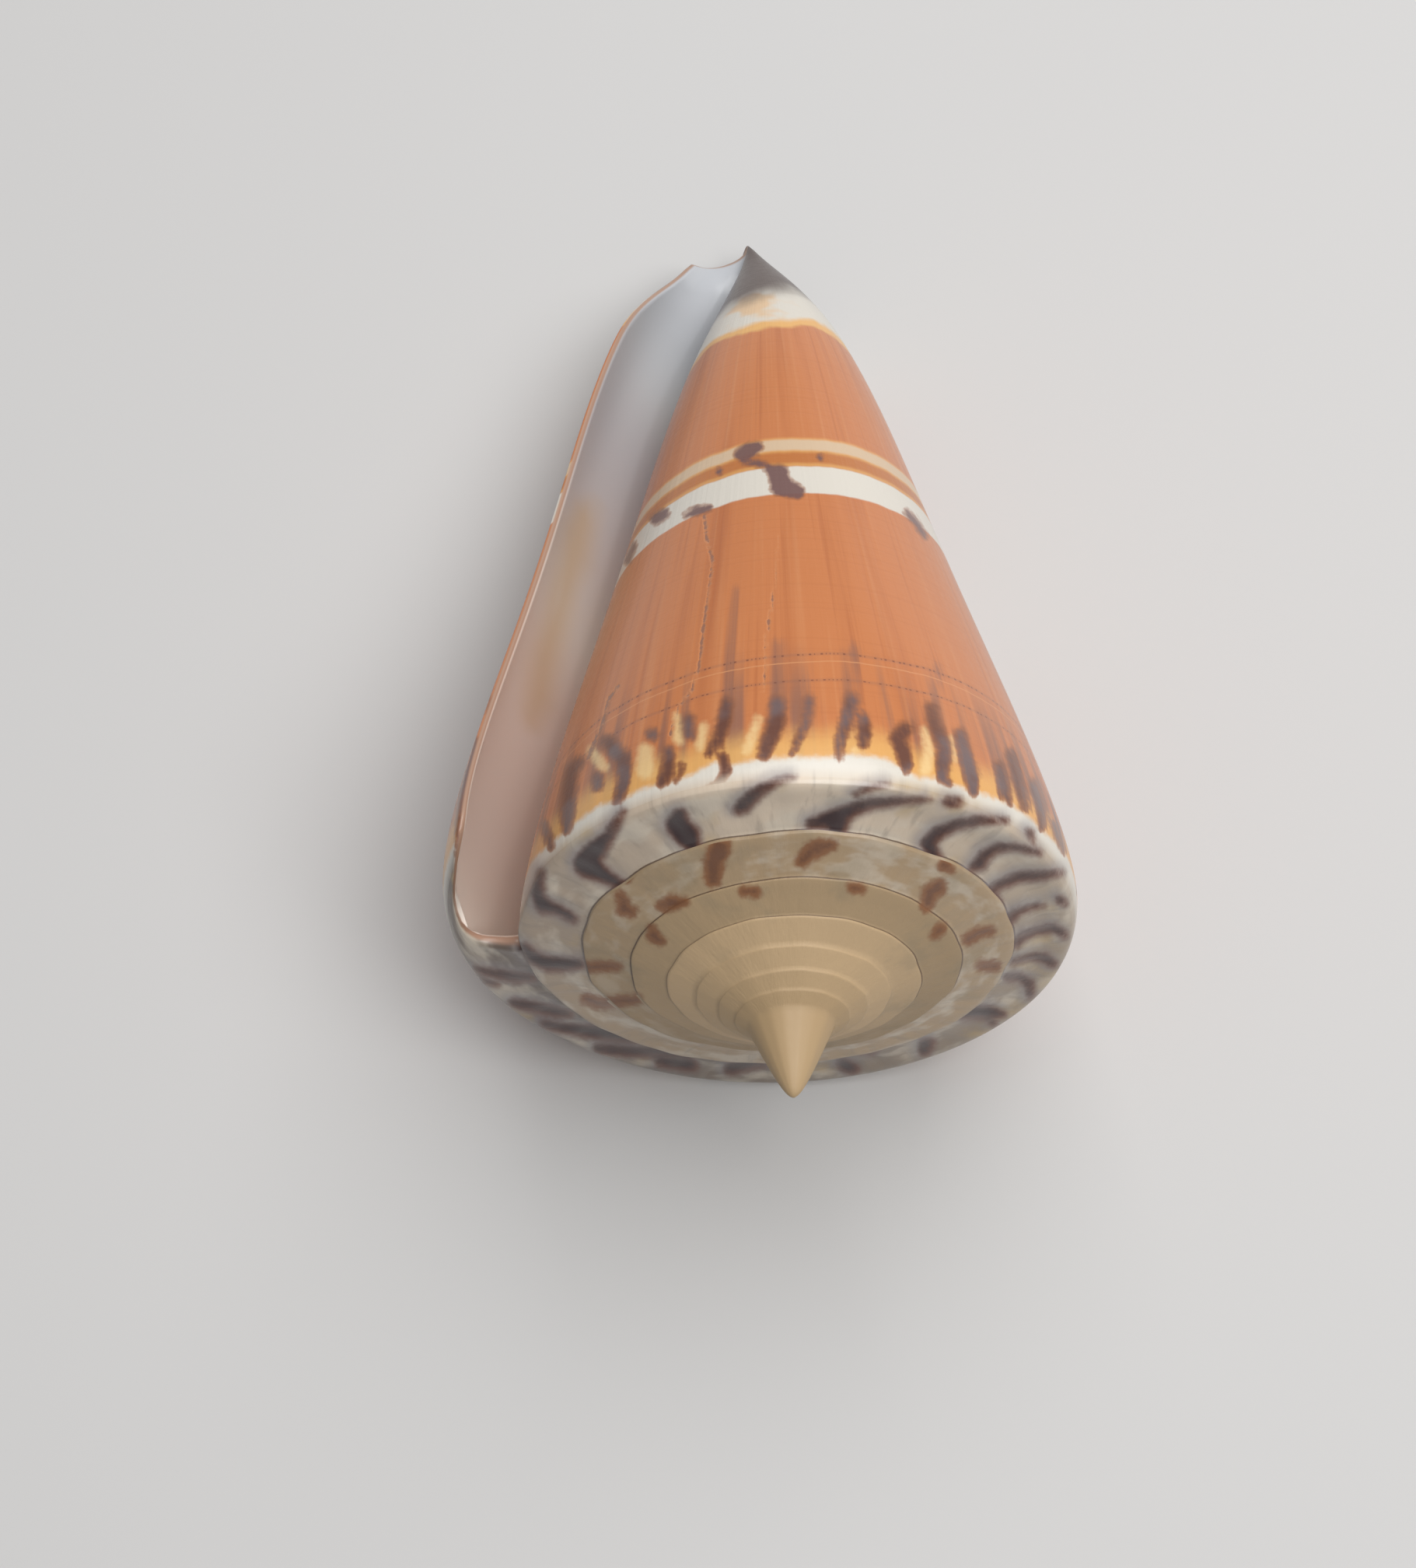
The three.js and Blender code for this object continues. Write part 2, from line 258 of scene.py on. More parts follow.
def flank_backset(v):
    """How far the lip's edge lies behind its foremost line, down the flank."""
    top, middle, end = LIP_BACKSET
    at_top = np.clip(1 - v/TOP_SHARE, 0, 1)**2
    at_end = np.clip((v - 1 + END_SHARE)/END_SHARE, 0, 1)**2
    notch = (SUTURE_BACKSET - NOTCH_FALL - top)*np.exp(-v/NOTCH_REACH[1])
    return top*at_top + middle*4*v*(1 - v) + end*at_end + notch


def ramp_backset(u):
    """The same across the ramp, where the notch lies between shoulder and suture."""
    notch = NOTCH_FALL*np.exp(-u/NOTCH_REACH[0])*(1 - u)
    return SUTURE_BACKSET + RAMP_BACKSET*np.sin(np.pi*u)*u - notch


def wound(radius, height, angle):
    """Points at a radius and height, turned about the axis to their angle. The axis
    itself leans within the spire, and bends over at the tip by a square law."""
    azimuth = LIP_AZIMUTH + angle
    bend = TIP_BEND*np.maximum(0, 1 - (1 + height/BODY_LENGTH)/BEND_SHARE)**2
    shift = SPIRE_LEAN*np.maximum(height, 0) - bend
    return np.stack([radius*np.cos(azimuth) + shift, radius*np.sin(azimuth), height], -1)


def wall_at(column):
    """Thickness of the wall, which thins towards the lip."""
    return LIP_WALL + (WALL - LIP_WALL)*np.clip(column/WALL_REACH, 0, 1)


def canal_floor(column):
    """Lowest v of the space between whorls: where the wall's inside meets the whorl
    before it, read between the samples of the gap."""
    v = np.linspace(0.5, 1, 501)
    angle = SUTURE_BACKSET + column[:, None]
    gap = flank(angle, v[None])[0] - wall_at(column[:, None]) - flank(angle + TURN, v[None])[0]
    last = gap.shape[1] - 1 - np.argmax(gap[:, ::-1] > 0, axis=1)
    after = np.minimum(last + 1, len(v) - 1)
    row = np.arange(len(column))
    fall = gap[row, last] - gap[row, after]
    share = np.where(after > last, gap[row, last]/np.where(fall == 0, 1, fall), 0)
    return np.where(last == len(v) - 1, 1, v[last] + share*(v[after] - v[last]))


column_step = TURN/COLUMNS
ramp_rows = np.linspace(1, 0, RAMP_ROWS + 1)**RAMP_CROWDING
lower_rows = np.linspace(0, 1, FLANK_ROWS + 1)**ROW_CROWDING
edge_rows = np.linspace(0, 1, EDGE_ROWS + 1)
seam_rows = SUTURE_DEPTH + (JOIN_DEPTH - SUTURE_DEPTH)*edge_rows[:-1]
flank_rows = np.concatenate([[0], seam_rows, JOIN_DEPTH + (1 - JOIN_DEPTH)*lower_rows])
point_sets = []
value_sets = []
face_sets = []


def add_points(points, turns, profile, inside):
    """Keeps a grid of points with, at each, the turns back from the lip, the place on the
    profile and how far inside the mouth it is, and gives their numbers."""
    shape = points.shape[:2]
    first = sum(len(kept) for kept in point_sets)
    values = [np.broadcast_to(value, shape) for value in (turns, profile, inside)]
    point_sets.append(points.reshape(-1, 3))
    value_sets.append(np.stack(values, -1).reshape(-1, 3))
    return first + np.arange(shape[0]*shape[1]).reshape(shape)


def add_grid(numbers):
    """Two triangles for each cell of a grid of point numbers."""
    a, b, c, d = numbers[:-1, :-1], numbers[1:, :-1], numbers[1:, 1:], numbers[:-1, 1:]
    face_sets.append(np.stack([a, d, c], -1).reshape(-1, 3))
    face_sets.append(np.stack([a, c, b], -1).reshape(-1, 3))


def add_stitch(fine, coarse, kept):
    """Closes a fine column to a coarse one that keeps only some of its rows: each fine
    step fans out from the nearest coarse point, and a triangle bridges each change."""
    nearest = np.abs(np.arange(len(fine) - 1)[:, None] + 0.5 - kept).argmin(1)
    face_sets.append(np.stack([fine[:-1], fine[1:], coarse[nearest]], -1))
    owner = np.concatenate([[0], nearest, [len(kept) - 1]])
    change = np.flatnonzero(np.diff(owner))
    face_sets.append(np.stack([fine[change], coarse[owner[change + 1]], coarse[owner[change]]], -1))


column = np.arange(int(SPIRE_TURNS*COLUMNS) + 1)[:, None]*column_step
angle = set_back(column, ramp_backset(ramp_rows))
ramps = wound(*ramp(angle, ramp_rows + 0*angle), angle)
seam_angle = set_back(column, flank_backset(SUTURE_DEPTH))
seams = wound(*flank(seam_angle, seam_depth(column - TURN)), seam_angle)
ramps = np.concatenate([ramps, seams], 1)
ramp_profile = np.append(-ramp_rows, 0)[None]
kept = np.append(np.arange(0, RAMP_ROWS + 1, 2), RAMP_ROWS + 1)
near, far = slice(0, DETAILED_COLUMNS), slice(DETAILED_COLUMNS, None)
near_ramps = add_points(ramps[near], column[near]/TURN, ramp_profile, 0)
far_ramps = add_points(ramps[far][:, kept], column[far]/TURN, ramp_profile[:, kept], 0)
add_grid(near_ramps)
add_grid(far_ramps)
add_stitch(near_ramps[-1], far_ramps[0], kept)

column = np.arange(COLUMNS + 1)[:, None]*column_step
angle = set_back(column, flank_backset(flank_rows[1:]))
flanks = wound(*flank(angle, flank_rows[1:] + 0*angle), angle)
add_grid(add_points(flanks, column/TURN, flank_rows[None, 1:], 0))

rim_count = int(np.ceil(FLARE_ANGLE/column_step)) + 1
deep = np.arange(rim_count, int(CAVITY_TURNS*COLUMNS) + 1, DEEP_STEP)
column = np.concatenate([np.arange(rim_count), deep])*column_step
floor = canal_floor(column)[:, None]
column = column[:, None]
meets = floor[:, 0] < 1
thickness = wall_at(column)
ceiling_depth = CEILING_DEPTH*thickness/WALL
wall_depth = ceiling_depth + flank_rows[::-1]*(floor - ceiling_depth)
wall_angle = set_back(column, flank_backset(flank_rows[::-1]))
wall_radius, wall_height = flank(wall_angle, wall_depth)
wall_radius -= thickness
whorl_angle = SUTURE_BACKSET + column + TURN
floor_radius, floor_height = flank(whorl_angle, floor)
wall_radius[meets, 0] = floor_radius[meets, 0]
wall_height[meets, 0] = floor_height[meets, 0]
wall_angle[meets, 0] = whorl_angle[meets, 0]
ceiling_rows = ramp_rows[::-1]
ceiling_angle = set_back(column, ramp_backset(ceiling_rows))
ceiling_height = ramp(ceiling_angle, ceiling_rows + 0*ceiling_angle)[1]
join_radius, join_height = flank(whorl_angle, JOIN_DEPTH + 0*column)
outer_drop = wall_height[:, -1:] - ceiling_height[:, :1]
inner_drop = join_height - ceiling_height[:, -1:]
ceiling_height = ceiling_height + outer_drop*(1 - ceiling_rows) + inner_drop*ceiling_rows
ceiling_radius = wall_radius[:, -1:] + ceiling_rows*(join_radius - wall_radius[:, -1:])
whorl_depth = JOIN_DEPTH + lower_rows*(floor - JOIN_DEPTH)
wall = wound(wall_radius, wall_height, wall_angle)
ceiling = wound(ceiling_radius, ceiling_height, ceiling_angle)
whorl = wound(*flank(whorl_angle + 0*whorl_depth, whorl_depth), whorl_angle + 0*whorl_depth)
cavity = np.concatenate([wall, ceiling, whorl], 1)
cavity_profile = np.concatenate([wall_depth, -ceiling_rows + 0*column, whorl_depth], 1)
row_counts = np.array([wall.shape[1], ceiling.shape[1], whorl.shape[1]])
row_starts = np.cumsum(row_counts) - row_counts
kept = [np.append(np.arange(0, count - 1, ROW_STEP), count - 1) for count in row_counts]
kept = np.concatenate([start + rows for start, rows in zip(row_starts, kept)])
of_whorl = np.arange(cavity.shape[1]) >= row_starts[2]
cavity_turns = column/TURN + of_whorl
lip_column = add_points(cavity[:1], cavity_turns[:1], cavity_profile[:1], 1 - of_whorl)[0]
deep_turns, deep_profile = cavity_turns[1:, kept], cavity_profile[1:, kept]
depths = add_points(cavity[1:, kept], deep_turns, deep_profile, 1 - of_whorl[kept])
add_stitch(lip_column, depths[0], kept)
add_grid(depths)
end_ring = depths[-1]
end_centre = add_points(cavity[-1:, kept].mean(1, keepdims=True), CAVITY_TURNS, 0.5, 1)
fan_centre = np.full(len(end_ring), end_centre[0, 0])
face_sets.append(np.stack([end_ring, np.roll(end_ring, -1), fan_centre], -1))

tip = wound(*flank(np.array(TURN), np.array(1.0)), TURN)
rim_inner = np.where(meets[:rim_count, None], tip, wall[:rim_count, 0])
edge_outer = np.concatenate([ramps[0, :-1], flanks[0], flanks[1:rim_count, -1]])
edge_behind = np.concatenate([ramps[1, :-1], flanks[1], flanks[1:rim_count, -2]])
edge_inner = np.concatenate([ceiling[0, :0:-1], wall[0, ::-1], rim_inner[1:]])
edge_profile = np.concatenate([-ramp_rows, flank_rows[1:], np.ones(rim_count - 1)])
edge_turns = np.concatenate([np.zeros(len(edge_outer) - rim_count + 1), np.arange(1, rim_count)/COLUMNS])
outward = unit(edge_outer - edge_behind)
for _ in range(3*EDGE_ROWS):
    outward[1:-1] = unit(outward[:-2] + 2*outward[1:-1] + outward[2:])
edge_width = np.linalg.norm(edge_inner - edge_outer, axis=-1)[:, None, None]
across = edge_rows[None, ::-1, None]
bulge = LIP_ROUNDING*np.minimum(edge_width, EDGE_LIMIT*WALL)*outward[:, None]*np.sin(np.pi*across)
edge = edge_outer[:, None]*(1 - across) + edge_inner[:, None]*across + bulge
seam = SUTURE_DEPTH + (JOIN_DEPTH - SUTURE_DEPTH)*edge_rows[::-1]
edge[0] = wound(*flank(TURN + SUTURE_BACKSET + 0*seam, seam), TURN + SUTURE_BACKSET)
edge_inside = edge_rows[::-1, None]
add_grid(add_points(edge.transpose(1, 0, 2), edge_turns[None], edge_profile[None], edge_inside))

floor_start = int(np.argmax(meets))
tip_number = add_points(tip[None, None], 1, 1, 0)[0, 0]
face_sets.append(np.array([[depths[floor_start - 2, 0], depths[floor_start - 1, 0], tip_number]]))

last_ramp = ramps[-1, np.append(np.arange(2, RAMP_ROWS + 1, 2), RAMP_ROWS + 1)]
loop = np.concatenate([ramps[-COLUMNS - 1:, 0], last_ramp])[:, None]
inward = np.linspace(1, 0, DOME_ROWS + 1)[None]
apex = wound(np.array(0), np.array(APEX_HEIGHT), 0)
dome = apex + (loop - apex)*inward[..., None]
fall = (np.hypot(inward, DOME_ROUND) - DOME_ROUND)/(np.hypot(1, DOME_ROUND) - DOME_ROUND)
dome[..., 2] = APEX_HEIGHT + (loop[..., 2] - APEX_HEIGHT)*fall
add_grid(add_points(dome[:, ::-1], SPIRE_TURNS, -1, 0))


def welded(points, triangles):
    """Points merged where they meet to a tenth of a micron, and triangles without the
    ones that close up; also which old point each point and each corner came from."""
    keys = np.round(points*1e7).astype(np.int64)
    first, inverse = np.unique(keys, axis=0, return_index=True, return_inverse=True)[1:]
    joined_up = inverse.ravel()[triangles]
    a, b, c = joined_up.T
    whole = (a != b) & (b != c) & (c != a)
    return points[first], joined_up[whole], first, triangles[whole]


corner_points = np.concatenate(point_sets)
corner_values = np.concatenate(value_sets)
shell_points, shell_faces, old_points, old_corners = welded(corner_points, np.concatenate(face_sets))

shell_mesh = bpy.data.meshes.new("shell")
shell_mesh.from_pydata(lay_down(shell_points).tolist(), [], shell_faces.tolist())
shell_mesh.polygons.foreach_set("use_smooth", np.ones(len(shell_faces), bool))
shell = bpy.data.objects.new("shell", shell_mesh)
bpy.context.collection.objects.link(shell)
growth_map = shell_mesh.uv_layers.new(name="growth_lines")
growth_map.data.foreach_set("uv", corner_values[old_corners.ravel(), :2].astype(np.float32).ravel())
inside_mask = shell_mesh.attributes.new("inside", "FLOAT", "CORNER")
inside_mask.data.foreach_set("value", corner_values[old_corners.ravel(), 2].astype(np.float32))

# The shell's markings
# Dark flames on the ramp, tongues below the shoulder and blots on the white bands, all
# laid down in the shell as it grew. Each is a chain of (across, down, half its width),
# drawn in the photograph's pixels, and the far side's tongues are made up.
PIXELS_PER_MM = 21
RAMP_FLAMES = (
    ((802, 1044, 3), (785, 1075, 7), (763, 1100, 14), (757, 1112, 17), (780, 1128, 8), (800, 1138, 6)),
    ((697, 1122, 4), (693, 1150, 7), (700, 1165, 10), (718, 1170, 6), (738, 1182, 5)),
    ((675, 1218, 5), (686, 1232, 8), (705, 1240, 9), (735, 1241, 8), (748, 1240, 6)),
    ((876, 1050, 10), (872, 1062, 14), (885, 1075, 16), (893, 1088, 9)),
    ((1021, 999, 2), (1000, 1005, 4), (975, 1020, 7), (957, 1037, 9), (950, 1042, 6)),
    ((1196, 1028, 2), (1160, 1031, 4), (1125, 1034, 6), (1100, 1041, 8), (1078, 1053, 12), (1045, 1060, 7)),
    ((1085, 1052, 10), (1078, 1068, 11)),
    ((1142, 1008, 2), (1120, 1014, 3), (1100, 1022, 2)),
    ((1220, 1032, 6), (1232, 1032, 6)),
    ((1295, 1055, 3), (1260, 1056, 5), (1230, 1062, 6), (1207, 1072, 8), (1195, 1085, 9), (1202, 1100, 8),
     (1208, 1108, 5)),
    ((1338, 1097, 3), (1305, 1090, 4), (1285, 1091, 5), (1268, 1100, 7), (1262, 1111, 8), (1250, 1118, 4)),
    ((1325, 1070, 4), (1328, 1078, 3)),
    ((1366, 1122, 3), (1340, 1127, 5), (1312, 1128, 6), (1285, 1139, 5), (1275, 1148, 5), (1283, 1160, 5)),
    ((1363, 1157, 4), (1370, 1162, 3)),
    ((1342, 1165, 2), (1325, 1167, 3), (1308, 1174, 4), (1300, 1183, 6)),
    ((1370, 1203, 4), (1358, 1194, 5), (1335, 1197, 4), (1315, 1206, 4), (1307, 1213, 6)),
    ((1355, 1240, 5), (1345, 1232, 5), (1325, 1231, 3), (1303, 1238, 3)),
    ((1327, 1280, 5), (1325, 1265, 5), (1312, 1256, 4), (1297, 1258, 4)),
    ((1290, 1305, 4), (1277, 1303, 8), (1258, 1302, 9), (1240, 1304, 7), (1222, 1300, 5), (1205, 1303, 4),
     (1190, 1302, 7), (1178, 1300, 5)),
    ((1278, 1315, 5),),
    ((1198, 1340, 5), (1192, 1345, 9), (1190, 1352, 7)),
    ((1062, 1348, 5), (1085, 1343, 5), (1110, 1348, 7), (1122, 1350, 6)),
    ((1085, 1368, 7), (1097, 1375, 8)),
    ((612, 1247, 3), (640, 1253, 5), (665, 1258, 6), (685, 1258, 4)),
    ((620, 1262, 3), (640, 1266, 3)),
    ((660, 1290, 5), (690, 1296, 6), (718, 1302, 6), (733, 1305, 4)),
    ((700, 1318, 5), (740, 1325, 7), (790, 1330, 9), (815, 1334, 8), (840, 1333, 5)),
    ((770, 1350, 6), (800, 1352, 6), (860, 1354, 6), (885, 1358, 6)),
    ((850, 1366, 6), (890, 1370, 8)),
    ((940, 1375, 7), (980, 1365, 8), (1000, 1362, 6)),
    ((890, 1350, 5), (915, 1350, 6), (950, 1350, 5)),
)
OLD_BLOTCHES = (
    ((925, 1090, 14), (918, 1110, 12), (917, 1130, 10)),
    ((798, 1152, 6), (803, 1168, 9), (812, 1172, 6)),
    ((852, 1165, 7), (865, 1160, 9), (880, 1160, 5)),
    ((838, 1195, 5), (840, 1203, 8), (850, 1210, 5)),
    ((958, 1146, 6), (972, 1147, 6)),
    ((1032, 1107, 8), (1042, 1095, 10), (1055, 1090, 10), (1070, 1086, 6)),
    ((1095, 1141, 5), (1107, 1143, 5)),
    ((1215, 1113, 8), (1222, 1117, 5)),
    ((1208, 1140, 9), (1196, 1148, 10), (1192, 1165, 7)),
    ((1210, 1194, 6), (1202, 1202, 5)),
    ((1275, 1197, 5), (1258, 1199, 6), (1245, 1208, 7)),
    ((1262, 1242, 6), (1280, 1242, 6)),
    ((756, 1243, 6), (780, 1243, 6), (795, 1243, 4)),
    ((755, 1284, 7), (770, 1290, 7), (800, 1287, 6), (820, 1285, 5)),
    ((792, 1122, 6), (805, 1128, 6)),
)
TONGUES = (
    ((700, 1060, 4), (705, 1075, 7), (708, 1090, 5)),
    ((745, 980, 4), (735, 990, 6), (732, 1020, 8), (730, 1050, 9), (728, 1068, 6)),
    ((770, 1000, 6), (768, 1012, 6)),
    ((782, 955, 7), (790, 965, 9), (800, 975, 9), (802, 1000, 9), (797, 1020, 8), (793, 1030, 6)),
    ((838, 945, 5),),
    ((860, 965, 5), (860, 985, 8), (855, 1000, 8), (850, 1008, 6)),
    ((885, 925, 5), (886, 945, 6)),
    ((878, 985, 5), (870, 1005, 3)),
    ((935, 905, 5), (930, 930, 8), (920, 955, 8), (912, 970, 6)),
    ((930, 975, 7), (935, 990, 7), (925, 1005, 6), (910, 1013, 4)),
    ((1000, 905, 7), (998, 930, 10), (988, 955, 10), (982, 972, 8)),
    ((1040, 900, 4), (1038, 925, 5), (1028, 950, 5), (1018, 970, 4)),
    ((1095, 900, 6), (1085, 935, 7), (1080, 960, 7), (1080, 974, 6)),
    ((1110, 925, 6), (1112, 945, 8), (1110, 958, 6)),
    ((1165, 938, 8), (1152, 948, 8), (1160, 965, 10), (1165, 982, 10), (1165, 992, 5)),
    ((1198, 910, 4), (1203, 935, 6), (1215, 960, 8), (1213, 985, 9), (1212, 1000, 8), (1220, 1008, 5)),
    ((1235, 945, 5), (1242, 975, 8), (1250, 1000, 10), (1252, 1018, 7)),
    ((1285, 985, 6), (1290, 1005, 9), (1292, 1020, 8), (1299, 1034, 4)),
    ((1300, 970, 4), (1308, 1000, 6), (1315, 1025, 6), (1319, 1042, 4)),
    ((1328, 1010, 5), (1338, 1040, 6), (1340, 1065, 5)),
    ((1355, 1060, 4), (1362, 1080, 4), (1368, 1095, 3)),
    ((612, 955, 2), (600, 1000, 3), (590, 1060, 3), (587, 1105, 2)),
    ((637, 902, 3), (634, 912, 3)),
)
BAND_BLOTS = (
    ((990, 603, 6), (1002, 610, 12), (1003, 625, 12), (1025, 632, 9)),
    ((950, 584, 6), (965, 578, 9), (975, 574, 6)),
    ((955, 592, 4), (985, 598, 4)),
    ((880, 663, 2), (895, 657, 6), (912, 653, 4)),
    ((842, 668, 6), (855, 660, 6)),
    ((1165, 658, 3), (1175, 668, 4), (1190, 690, 3)),
    ((925, 606, 4),),
    ((1055, 588, 4),),
    ((806, 722, 4), (816, 700, 3)),
)
SCARS = (
    ((905, 660, 1), (908, 690, 1), (916, 720, 1), (912, 760, 1), (905, 800, 1), (900, 850, 1), (890, 885, 1),
     (870, 912, 1), (862, 945, 1)),
    ((1000, 690, 0), (998, 740, 0), (992, 780, 1), (985, 820, 1), (985, 860, 1), (980, 890, 1)),
    ((795, 880, 1), (782, 900, 1), (775, 930, 1), (762, 960, 2), (755, 975, 2)),
)
PALE_PATCHES = (
    ((870, 920, 5), (875, 935, 8), (873, 950, 8)),
    ((975, 925, 6), (968, 945, 6), (960, 965, 6)),
    ((905, 935, 6), (900, 960, 6)),
    ((830, 965, 10), (830, 990, 12)),
    ((760, 965, 6), (775, 985, 8)),
    ((1190, 940, 6), (1195, 965, 7), (1190, 990, 8)),
    ((1222, 950, 5), (1228, 975, 5)),
    ((1100, 965, 5),),
)
GREY_STREAKS = (
    ((948, 760, 5), (940, 840, 9), (938, 900, 8)),
    ((1094, 840, 10), (1092, 900, 8)),
    ((1000, 830, 6), (1000, 900, 9)),
    ((1205, 860, 5), (1200, 920, 6)),
)
OCHRE_SMUDGES = (
    ((752, 660, 12), (742, 690, 16), (738, 725, 14), (722, 760, 10)),
    ((720, 780, 10), (700, 850, 14), (690, 920, 12)),
)
RIM_LINE = (
    (682, 1110), (700, 1092), (722, 1074), (745, 1056), (775, 1034), (800, 1030), (830, 1012), (858, 1008),
    (880, 1000), (905, 985), (920, 978), (940, 985), (962, 980), (981, 976), (1057, 976), (1090, 972),
    (1136, 976), (1152, 984), (1180, 1000), (1200, 1000), (1225, 1010), (1245, 1018), (1275, 1024),
    (1300, 1036), (1322, 1048), (1340, 1068), (1358, 1085), (1372, 1105),
)
RIM_DEPTH = 0.02
VEIL_SHIFT = (-6, -4)
FAR_AWAY = 99.0


def project(points):
    """Photograph pixels of points in the shell's frame: the camera's own perspective."""
    right, up, back = ((points - CAMERA_PLACE)@CAMERA_AXES.T).T
    return IMAGE_SIZE/2 + FOCAL_PIXELS/-back[:, None]*np.stack([right, -up], -1)


def chain_distance(places, chains):
    """Distance from each place to the nearest chain, less the chain's half width there,
    which runs evenly from one of its points to the next: negative within a mark."""
    nearest = np.full(len(places), FAR_AWAY*PIXELS_PER_MM)
    for chain in chains:
        links = np.array(chain, float)
        for start, end in zip(links, links[1:] if len(links) > 1 else links):
            along = end[:2] - start[:2]
            share = (places - start[:2])@along/max(along@along, 1e-9)
            share = np.clip(share, 0, 1)
            gap = np.linalg.norm(places - start[:2] - share[:, None]*along, axis=1)
            nearest = np.minimum(nearest, gap - start[2] - share*(end[2] - start[2]))
    return nearest


shell_turns, shell_profile, shell_inside = corner_values[old_points].T
vertex_normals = np.empty(len(shell_points)*3)
shell_mesh.vertices.foreach_get("normal", vertex_normals)
to_camera = unit(camera_place - lay_down(shell_points))
facing = (vertex_normals.reshape(-1, 3)*to_camera).sum(1)
outside = shell_inside < 0.5
seen = (facing > 0.04) & outside
pixels = project(shell_points)

on_flank = seen & (shell_profile > 0) & (shell_profile < 0.3)
flank_pixels = pixels[on_flank]
line_points = [((flank_pixels - point)**2).sum(1).argmin() for point in RIM_LINE]
line_turns = shell_turns[on_flank][line_points]
line_depths = shell_profile[on_flank][line_points]
order = np.argsort(line_turns)
back_turns = np.linspace(0.02, line_turns.min() - 0.03, 60)
wobble = np.random.default_rng(4).normal(0, 0.0035, len(back_turns))
line_turns = np.concatenate([back_turns, line_turns[order]])
line_depths = np.concatenate([RIM_DEPTH + wobble, line_depths[order]])
rim_depth = np.interp(shell_turns, line_turns, line_depths)
rim = (rim_depth - shell_profile)*BODY_LENGTH*1000

flank_mm = np.stack([shell_turns*TURN*LIP_RADIUS, shell_profile*BODY_LENGTH], 1)*1000


def hidden_tongues():
    """Tongues of the side that faces away, one or two at each step round the shoulder, in
    millimetres round and down the flank."""
    chance = np.random.default_rng(11)
    chains = []
    place = 0.035
    while place < line_turns[len(back_turns)] - 0.02:
        place += chance.uniform(0.022, 0.042)
        around = place*TURN*LIP_RADIUS*1000
        top, long = chance.uniform(1.2, 1.9), chance.uniform(1.5, 4.2)
        lean, wide = chance.uniform(-0.5, 0.5), chance.uniform(0.28, 0.5)
        chains.append(((around, top, wide), (around + lean/2, top + long/2, wide*1.1),
                       (around + lean, top + long, wide*0.4)))
    return chains


def marks(chains, where=True):
    """Distance to marks drawn in the photograph, in millimetres, where it shows them."""
    distance = np.full(len(shell_points), FAR_AWAY)
    shown = seen & where
    distance[shown] = chain_distance(pixels[shown], chains)/PIXELS_PER_MM
    return distance


def shifted(chains, across, down):
    """The same chains moved over in the photograph."""
    return [[(x + across, y + down, half) for x, y, half in chain] for chain in chains]


def keep(name, values):
    """Keeps a number at each vertex for the glaze to read."""
    attribute = shell_mesh.attributes.new(name, "FLOAT", "POINT")
    attribute.data.foreach_set("value", values.astype(np.float32))


hidden = chain_distance(flank_mm, hidden_tongues())
hidden[~outside | (shell_profile <= 0)] = FAR_AWAY
last_whorl = shell_turns < 1.04
keep("flames", marks(RAMP_FLAMES, last_whorl))
keep("flame_veil", marks(shifted(RAMP_FLAMES, *VEIL_SHIFT), last_whorl))
keep("scars", marks(SCARS))
keep("blotches", marks(OLD_BLOTCHES, ~last_whorl))
keep("tongues", np.minimum(marks(TONGUES), hidden))
keep("blots", marks(BAND_BLOTS))
keep("pale", marks(PALE_PATCHES))
keep("streaks", marks(GREY_STREAKS))
keep("rim", rim)
smudges = np.full(len(shell_points), FAR_AWAY)
smudges[~outside] = chain_distance(pixels[~outside], OCHRE_SMUDGES)/PIXELS_PER_MM
keep("smudges", smudges)

# The shell's glaze
# Calcium carbonate with a porcelain polish: the colour lies in the outer layer in rings
# and streaks along the growth lines, and the inside is a bare pink and grey glaze,
# darkened to mauve deeper into the mouth as painted shade.
material = bpy.data.materials.new("shell_glaze")
material.use_nodes = True
tree = material.node_tree
shader = tree.nodes["Principled BSDF"]


def node(kind, inputs=(), **settings):
    """A node with its settings, and its inputs by name, each a number or a socket."""
    made = tree.nodes.new(kind)
    for name, value in settings.items():
        setattr(made, name, value)
    for name, value in dict(inputs).items():
        socket = made.inputs[name]
        if isinstance(value, bpy.types.NodeSocket):
            tree.links.new(value, socket)
        else:
            socket.default_value = value
    return made


def maths(operation, a, b=0.0):
    """One step of arithmetic."""
    return node("ShaderNodeMath", {0: a, 1: b}, operation=operation).outputs[0]


def step(value, start, end):
    """0 before start and 1 after end, with a smooth rise between; it falls where start is
    the higher of the two."""
    inputs = {"Value": value, "From Min": start, "From Max": end}
    return node("ShaderNodeMapRange", inputs, interpolation_type="SMOOTHSTEP").outputs["Result"]


def screen_colour(red, green, blue):
    """A colour given as on a screen, 0 to 255, in linear light."""
    screen = np.array([red, green, blue])/255
    linear = np.where(screen <= 0.04045, screen/12.92, ((screen + 0.055)/1.055)**2.4)
    return (*linear, 1)


def layer(under, over, cover):
    """One colour laid over another, as far as cover says."""
    made = node("ShaderNodeMix", data_type="RGBA")
    for name, value in (("Factor_Float", cover), ("A_Color", under), ("B_Color", over)):
        socket = next(entry for entry in made.inputs if entry.identifier == name)
        if isinstance(value, bpy.types.NodeSocket):
            tree.links.new(value, socket)
        else:
            socket.default_value = value
    return next(entry for entry in made.outputs if entry.identifier == "Result_Color")


